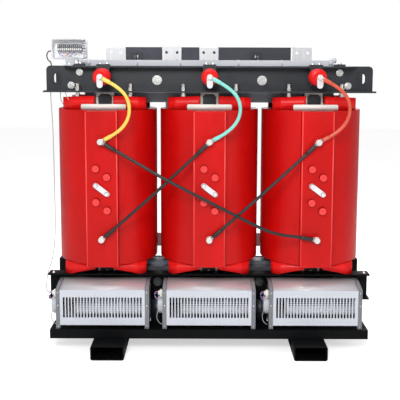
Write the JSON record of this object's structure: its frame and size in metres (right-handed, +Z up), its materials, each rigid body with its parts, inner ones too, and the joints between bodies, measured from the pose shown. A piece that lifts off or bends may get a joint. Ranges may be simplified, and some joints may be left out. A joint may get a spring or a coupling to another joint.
{
  "type": "dry type transformer",
  "caption": "Three-phase cast-resin dry type transformer with clamped core, delta leads, low-voltage bars and cross-flow cooling fans with turning impellers.",
  "frame": {"origin": "on the floor, under the centre of the whole transformer", "axes": "+X along the row of coils, from the first phase to the third; -Y towards the high-voltage side; +Z up"},
  "size_m": [1.38, 0.73, 1.29],
  "materials": {
    "black_paint": "semi-gloss black paint",
    "core_steel": "dark varnished laminations",
    "coil_resin": "glossy red cast resin",
    "lv_resin": "cream resin and glass cloth",
    "block_red": "glossy red moulded resin",
    "white_board": "white insulating board",
    "zinc": "bright zinc plating",
    "fan_aluminium": "satin aluminium",
    "bar_aluminium": "tinned or bare aluminium bar",
    "yellow_sleeve": "yellow insulated lead",
    "green_sleeve": "mint green insulated lead",
    "red_sleeve": "orange red insulated lead",
    "black_cable": "black cable",
    "box_white": "pale grey moulded box",
    "box_clear": "clear moulded cover",
    "strip_dark": "dark terminal blocks",
    "duct_grey": "light grey duct"
  },
  "bodies": {
    "frame": {"core_yoke_bottom": "core_steel", "core_yoke_top": "core_steel", "core_limbs": "core_steel", "tie_plates": "black_paint", "yoke_boards": "white_board", "end_boards": "white_board", "tie_plate_caps": "black_paint", "upper_clamp_front": "black_paint", "upper_clamp_rear": "black_paint", "lower_clamp_front": "black_paint", "lower_clamp_rear": "black_paint", "clamp_studs": "zinc", "cross_ties": "black_paint", "foot_left": "black_paint", "foot_right": "black_paint", "fan_beam_front": "black_paint", "fan_beam_rear": "black_paint", "lower_coil_blocks": "block_red", "upper_coil_blocks": "block_red", "spacer_bars": "white_board", "jack_bolts": "zinc", "hv_insulators": "block_red", "insulator_brackets": "black_paint", "terminal_plates": "bar_aluminium", "terminal_bolts": "zinc", "cable_lugs": "zinc", "tap_bolts": "zinc", "tap_links": "bar_aluminium", "phase_lead_a": "yellow_sleeve", "phase_lead_b": "green_sleeve", "phase_lead_c": "red_sleeve", "delta_lead_ac": "black_cable", "delta_lead_ba": "black_cable", "delta_lead_cb": "black_cable", "lv_bars": "bar_aluminium", "neutral_bar": "bar_aluminium", "lv_beam": "core_steel", "lv_beam_arms": "black_paint", "box_bracket": "duct_grey", "box_base": "box_white", "box_cover": "box_clear", "terminal_strip": "strip_dark", "wiring_duct": "duct_grey", "box_cable": "black_cable", "fan_housings_front": "fan_aluminium", "fan_housings_rear": "fan_aluminium", "fan_grilles": "fan_aluminium", "fan_motors": "duct_grey", "hv_coil_a": "coil_resin", "lv_coil_a": "lv_resin", "hv_coil_b": "coil_resin", "lv_coil_b": "lv_resin", "hv_coil_c": "coil_resin", "lv_coil_c": "lv_resin"},
    "impeller_front_a_body": {"impeller_front_a": "fan_aluminium"},
    "impeller_rear_a_body": {"impeller_rear_a": "fan_aluminium"},
    "impeller_front_b_body": {"impeller_front_b": "fan_aluminium"},
    "impeller_rear_b_body": {"impeller_rear_b": "fan_aluminium"},
    "impeller_front_c_body": {"impeller_front_c": "fan_aluminium"},
    "impeller_rear_c_body": {"impeller_rear_c": "fan_aluminium"}
  },
  "joints": [
    {"name": "impeller_front_a_spin", "type": "hinge", "parent": "frame", "child": "impeller_front_a_body", "pos_m": [-0.44, -0.215, 0.188], "axis": [1, 0, 0], "continuous": true},
    {"name": "impeller_rear_a_spin", "type": "hinge", "parent": "frame", "child": "impeller_rear_a_body", "pos_m": [-0.44, 0.215, 0.188], "axis": [1, 0, 0], "continuous": true},
    {"name": "impeller_front_b_spin", "type": "hinge", "parent": "frame", "child": "impeller_front_b_body", "pos_m": [0, -0.215, 0.188], "axis": [1, 0, 0], "continuous": true},
    {"name": "impeller_rear_b_spin", "type": "hinge", "parent": "frame", "child": "impeller_rear_b_body", "pos_m": [0, 0.215, 0.188], "axis": [1, 0, 0], "continuous": true},
    {"name": "impeller_front_c_spin", "type": "hinge", "parent": "frame", "child": "impeller_front_c_body", "pos_m": [0.44, -0.215, 0.188], "axis": [1, 0, 0], "continuous": true},
    {"name": "impeller_rear_c_spin", "type": "hinge", "parent": "frame", "child": "impeller_rear_c_body", "pos_m": [0.44, 0.215, 0.188], "axis": [1, 0, 0], "continuous": true}
  ]
}
